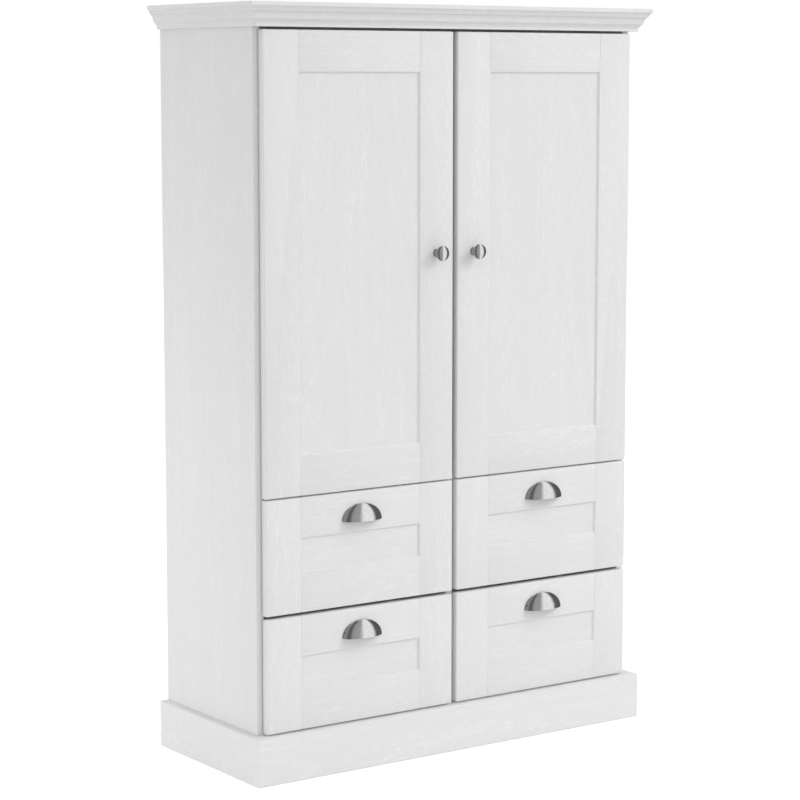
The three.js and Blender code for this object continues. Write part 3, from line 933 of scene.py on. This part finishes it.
def build_drawer(row, side):
    body = f"drawer_{row}_{side}"
    low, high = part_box(body + "_front")
    door_panel_low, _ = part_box("door_left_panel")
    door_face_low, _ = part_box("door_left_top_rail")
    panel_y = (low.y + door_panel_low.y - door_face_low.y, high.y - 1 * MM)
    parts = ("left_stile", "right_stile", "bottom_rail", "top_rail", "panel")
    nodes = {part: [body + "_front"] for part in parts}
    framed_front(body + "_front", low, high, DRAWER_RAIL, body, panel_y, nodes)
    mesh = drawer_box_mesh(body + "_box_boards", *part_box(body + "_box"))
    place(body + "_box_boards", mesh, BOARD, body, [body + "_box"], "y")
    board(body + "_bottom", body, edge=THIN_EDGE, material=HARDBOARD)
    build_pull(row, side)


# ---- hardware -------------------------------------------------------------------------

def screw(name, centre, axis, body, radius=3.6 * MM, height=1.4 * MM):
    """A domed screw head with a cross recess, its underside at centre."""
    edge = radius * 0.12
    rim = 0.35
    profile = [(0.0, 0.0), (radius, 0.0), (radius, height * rim)]
    steps = 6
    for i in range(1, steps):
        angle = math.pi / 2 * i / steps
        out = (radius - edge) * math.cos(angle) + edge * (1 - i / steps)
        profile.append((out, height * (rim + (1 - rim) * math.sin(angle))))
    profile.append((0.0, height))
    slot, reach, sink = radius * 0.16, radius * 0.6, height * 0.45
    cutters = []
    for wide, tall in ((reach, slot), (slot, reach)):
        bm = box_bmesh((-wide, -height * 2, -tall), (wide, -sink, tall))
        cutters.append(cutter_from(bm, "cross_cutter"))
    mesh = carved(name, to_mesh(turned(profile, 24), name), cutters)
    remove_all(cutters)
    place(name, moved(mesh, centre, axis), STEEL, body)


def build_hinge_cup(side, level):
    """Pressed cup with two screw ears and two pivot pins, let into the door's back."""
    node = f"hinge_cup_{side}_{level}"
    body = f"door_{side}"
    low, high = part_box(node)
    flange = 1.2 * MM
    deep, outer = 11.0 * MM, (high.x - low.x) / 2
    inner = outer - SHEET
    centre = middle_of(low, high)
    centre.y = high.y - flange
    ear_half, ear_reach, ear_round = 7 * MM, (high.z - low.z) / 2, 5 * MM
    ears = box_bmesh((-ear_half, 0.0, -ear_reach), (ear_half, flange, ear_reach))
    upright = [e for e in ears.edges if abs(e.verts[0].co.y - e.verts[1].co.y) > SMALL]
    soften(ears, ear_round, 6, upright)
    through = 5 * MM
    hole_profile = [(0.0, -through), (inner, -through), (inner, through), (0.0, through)]
    hole = cutter_from(turned(hole_profile, 48), "cup_hole")
    plate = carved(node + "_ears", to_mesh(ears, node), [hole])
    remove_all([hole])
    place(node + "_ears", moved(plate, centre, (0, -1, 0)), STEEL, body, [node])
    slope, rim = 1.6 * MM, 0.3 * MM
    bowl = [
        (0.0, deep - SHEET), (inner - slope, deep - SHEET), (inner, deep - SHEET - 1.7 * MM),
        (inner, -flange), (outer - rim, -flange), (outer, rim - flange), (outer, deep - SHEET),
        (outer - SHEET, deep), (0.0, deep),
    ]
    cup = to_mesh(turned(bowl), node + "_bowl")
    place(node + "_bowl", moved(cup, centre, (0, -1, 0)), STEEL, body, [node])
    for end, sign in (("top", 1), ("bottom", -1)):
        at = centre + Vector((0, flange, sign * (ear_reach - 6 * MM)))
        screw(f"{node}_screw_{end}", at, (0, 1, 0), body)
    radius, blunt = 1.5 * MM, 0.4 * MM
    for label, x, y in (("inner", 5.5 * MM, -5 * MM), ("outer", -5.5 * MM, -7 * MM)):
        half_length = math.sqrt((inner - 0.3 * MM) ** 2 - x ** 2)
        pin = turned([
            (0.0, -half_length), (radius - blunt, -half_length), (radius, blunt - half_length),
            (radius, half_length - blunt), (radius - blunt, half_length), (0.0, half_length),
        ], 20)
        at = centre + Vector((SIDES[side] * x, y, 0))
        mesh = moved(to_mesh(pin, f"{node}_pin_{label}"), at, (0, 0, 1))
        place(f"{node}_pin_{label}", mesh, STEEL, body)


def build_hinge_arm(side, level):
    """Mounting plate on the side panel, the arm clipped to it, and its screws."""
    node = f"hinge_arm_{side}_{level}"
    sign = SIDES[side]
    low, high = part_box(node)
    wall, tip = (high.x, low.x) if sign > 0 else (low.x, high.x)
    middle = (low.z + high.z) / 2
    plate_thickness, front, back = 3 * MM, 12 * MM, 48 * MM
    near_x, far_x = sorted((wall, wall - sign * plate_thickness))
    plate = rounded_box(
        node + "_plate", (near_x, low.y + front, low.z), (far_x, low.y + back, high.z), 0.7 * MM,
    )
    place(node + "_plate", plate, STEEL, "carcass", [node])
    arm_half, reach = 7 * MM, abs(wall - tip)
    # Distance from the side panel and from the arm's front end.
    outline = [
        (2.4 * MM, 10 * MM), (2.4 * MM, 60 * MM), (6 * MM, 60 * MM), (10.5 * MM, 52 * MM),
        (11.5 * MM, 30 * MM), (reach, 12 * MM), (reach, 0.0), (reach - 6 * MM, 0.0), (6.5 * MM, 5 * MM),
    ]
    rings = []
    for z in (middle - arm_half, middle + arm_half):
        rings.append([(wall - sign * out, low.y + along, z) for out, along in outline])
    arm = to_mesh(soften(loft(rings), 1.0 * MM), node + "_arm")
    place(node + "_arm", arm, STEEL, "carcass", [node])
    inward = Vector((-sign, 0, 0))
    for end, shift in (("top", 1), ("bottom", -1)):
        z = middle + shift * ((high.z - low.z) / 2 - 6 * MM)
        at = Vector((wall - sign * plate_thickness, low.y + 30 * MM, z))
        screw(f"{node}_plate_screw_{end}", at, inward, "carcass")
    for label, along, out in (("depth", 50 * MM, 10.3 * MM), ("side", 30 * MM, 11.3 * MM)):
        at = Vector((wall - sign * out, low.y + along, middle))
        screw(f"{node}_{label}_screw", at, inward, "carcass", 3.2 * MM)


def build_hinge_link(side, level):
    """The links between arm and cup, as two strips that taper towards their ends."""
    sign = SIDES[side]
    arm_low, arm_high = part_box(f"hinge_arm_{side}_{level}")
    cup_low, cup_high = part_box(f"hinge_cup_{side}_{level}")
    middle = (arm_low.z + arm_high.z) / 2
    start_x = (cup_low.x + cup_high.x) / 2 + sign * 3 * MM
    start = Vector((start_x, arm_low.y + 8 * MM, middle))
    end = Vector((start_x, cup_high.y - 7 * MM, middle))
    steps, half_thickness, narrowing = 14, 0.9 * MM, 0.25
    for label, aside, half_height in (("outer", 2.2 * MM, 5.0 * MM), ("inner", -2.2 * MM, 3.6 * MM)):
        name = f"hinge_link_{side}_{level}_{label}"
        rings = []
        for i in range(steps + 1):
            along = i / steps
            y = start.y + (end.y - start.y) * along
            x = start.x + sign * aside
            half = half_height * (1.0 - narrowing * abs(2 * along - 1) ** 3)
            rings.append([
                (x - half_thickness, y, middle - half), (x + half_thickness, y, middle - half),
                (x + half_thickness, y, middle + half), (x - half_thickness, y, middle + half),
            ])
        mesh = to_mesh(loft(rings), name)
        smooth_by_angle(mesh)
        mesh.materials.append(STEEL)
        link = link_object(name, mesh)
        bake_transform(link)


def build_runner(row, side, end):
    """Roll-formed channel on the carcass, its fixings, and the nylon shoe and rail on the drawer."""
    node = f"runner_{row}_{side}_{end}"
    low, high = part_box(node)
    body = f"drawer_{row}_{side}"
    facing = 1 if end == "a" else -1
    wall = low.x if facing > 0 else high.x
    width, height = high.x - low.x, high.z - low.z
    profile = [
        (0.0, 0.0), (width, 0.0), (width, SHEET), (SHEET, SHEET), (SHEET, height - SHEET),
        (width / 2, height - SHEET), (width / 2, height), (0.0, height),
    ]
    rings = [[(wall + facing * out, y, low.z + up) for out, up in profile] for y in (low.y, high.y)]
    channel = to_mesh(soften(loft(rings), 0.45 * MM, 2), node + "_channel")
    place(node + "_channel", channel, ENAMEL, "carcass", [node])
    for i, share in enumerate((0.16, 0.5, 0.84)):
        at = Vector((wall + facing * SHEET, low.y + (high.y - low.y) * share, low.z + height / 2))
        screw(f"{node}_screw_{i + 1}", at, (facing, 0, 0), "carcass", 3.2 * MM, 1.1 * MM)
    box_low, box_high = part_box(body + "_box")
    box_wall = box_low.x if facing > 0 else box_high.x
    glue, rail_thickness, rail_lift, rail_top = 0.1 * MM, 0.8 * MM, 0.5 * MM, 19 * MM
    rail_face = box_wall - facing * (glue + rail_thickness)
    near_x, far_x = sorted((box_wall - facing * glue, rail_face))
    rail_low = (near_x, box_low.y + 2 * MM, box_low.z + rail_lift)
    rail_high = (far_x, box_high.y - 1 * MM, box_low.z + rail_top)
    rail = rounded_box(f"{body}_rail_{end}", rail_low, rail_high, 0.25 * MM, 2)
    place(f"{body}_rail_{end}", rail, ENAMEL, body)
    shoe_from_wall, shoe_length, shoe_back = 4.2 * MM, 26 * MM, 4 * MM
    shoe_under, shoe_over = 0.6 * MM, 2.5 * MM
    near_x, far_x = sorted((wall + facing * shoe_from_wall, rail_face))
    shoe_end = box_high.y - shoe_back
    shoe_low = (near_x, shoe_end - shoe_length, low.z + SHEET + shoe_under)
    shoe_high = (far_x, shoe_end, high.z - SHEET - shoe_over)
    shoe = rounded_box(f"{body}_shoe_{end}", shoe_low, shoe_high, 2.0 * MM)
    place(f"{body}_shoe_{end}", shoe, NYLON, body)


def build_inside_screws():
    """The machine screws that hold the knobs and pulls, seen from behind."""
    radius, height, apart = 4.2 * MM, 2.0 * MM, 32 * MM
    behind = (0, 1, 0)
    for side in SIDES:
        at = middle_of(*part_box(f"knob_{side}"))
        at.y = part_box(f"door_{side}_closing_stile")[1].y
        screw(f"knob_{side}_screw", at, behind, f"door_{side}", radius, height)
        for row in ROWS:
            body = f"drawer_{row}_{side}"
            low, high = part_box(body + "_pull")
            back_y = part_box(body + "_front")[1].y
            for end, shift in (("left", -apart), ("right", apart)):
                at = Vector(((low.x + high.x) / 2 + shift, back_y, low.z + 5.5 * MM))
                screw(f"{body}_pull_screw_{end}", at, behind, body, radius, height)


# ---- stage ----------------------------------------------------------------------------

def build_floor():
    bm = bmesh.new()
    bmesh.ops.create_circle(bm, cap_ends=True, radius=FLOOR_RADIUS, segments=96)
    floor = link_object("floor", to_mesh(bm, "floor"))
    floor.data.materials.append(floor_material())
    floor.visible_glossy = False


def softbox(name, azimuth, elevation, distance, size, power):
    """A square softbox aimed at the middle of the armoire."""
    light = bpy.data.lights.new(name, "AREA")
    light.shape = "SQUARE"
    light.size = size
    light.energy = power
    lamp = link_object(name, light)
    around, above = math.radians(azimuth), math.radians(elevation)
    level = math.cos(above)
    back = Vector((math.sin(around) * level, -math.cos(around) * level, math.sin(above)))
    lamp.location = middle_of(cad_low, cad_high) + back * distance
    lamp.rotation_mode = "QUATERNION"
    lamp.rotation_quaternion = back.to_track_quat("Z", "Y")
    lamp.visible_camera = False
    lamp.visible_glossy = False


def studio_ramp(nodes, facing):
    """The brightness of the studio's bands, by the angle that the metal faces."""
    turn = nodes.ranged(facing, -math.pi / 2, math.pi / 2)
    ramp = nodes.add("ShaderNodeValToRGB", {"Fac": turn})
    elements = ramp.color_ramp.elements
    elements.remove(elements[-1])
    for i, (angle, level) in enumerate(STUDIO_BANDS):
        position = (angle + 90) / 180
        element = elements.new(position) if i else elements[0]
        element.position = position
        element.color = (*uniform(level), 1.0)
    return ramp.outputs["Color"]


def build_world():
    """Even white surroundings, with the bright and dark bands of a studio for metal to mirror."""
    world = bpy.data.worlds.new("studio")
    nodes = Nodes(world, "Generated")
    yaw = math.radians(CAMERA_YAW)

    def along(axis):
        return nodes.vector_maths("DOT_PRODUCT", nodes.position, axis, "Value")

    def background(colour, strength=1.0):
        return nodes.add("ShaderNodeBackground", {"Color": colour, "Strength": strength}).outputs[0]

    def choose(ray, no, yes):
        return nodes.add("ShaderNodeMixShader", {0: path.outputs[ray], 1: no, 2: yes}).outputs[0]

    sideways = along((math.cos(yaw), -math.sin(yaw), 0.0))
    towards = nodes.maths("ADD", along((-math.sin(yaw), -math.cos(yaw), 0.0)), 1.0)
    bands = studio_ramp(nodes, nodes.maths("ARCTAN2", sideways, towards))
    behind = nodes.ranged(towards, 0.5, 0.0)
    left_half = nodes.ranged(sideways, 0.4, 0.1)
    behind_left = nodes.maths("MULTIPLY", behind, left_half)
    mirrored = nodes.blend_colours(behind_left, bands, uniform(STUDIO_BEHIND))
    white = (*uniform(1.0), 1.0)
    path = nodes.add("ShaderNodeLightPath")
    lit = choose("Is Glossy Ray", background(white, AMBIENT), background(mirrored))
    shown = choose("Is Camera Ray", lit, background(white))
    nodes.add("ShaderNodeOutputWorld", {"Surface": shown})
    bpy.context.scene.world = world


def build_camera():
    """The camera stands in front and to the left, a little below the top of the cornice."""
    lens = bpy.data.cameras.new("camera")
    lens.sensor_width = 36.0
    lens.lens = CAMERA_LENS
    camera = link_object("camera", lens)
    camera.location = CAMERA_AT
    camera.rotation_mode = "XYZ"
    camera.rotation_euler = (math.radians(90 - CAMERA_TILT), 0.0, math.radians(-CAMERA_YAW))
    bpy.context.scene.camera = camera


build_camera()
build_floor()
build_world()
for softbox_setting in SOFTBOXES:
    softbox(*softbox_setting)
bpy.context.scene.view_settings.view_transform = "Standard"

build_carcass()
build_runs()
for side_name in SIDES:
    build_door(side_name)
    for level_name in HINGES:
        build_hinge_cup(side_name, level_name)
        build_hinge_arm(side_name, level_name)
        build_hinge_link(side_name, level_name)
    for row_name in ROWS:
        build_drawer(row_name, side_name)
        for end_name in "ab":
            build_runner(row_name, side_name, end_name)
build_inside_screws()
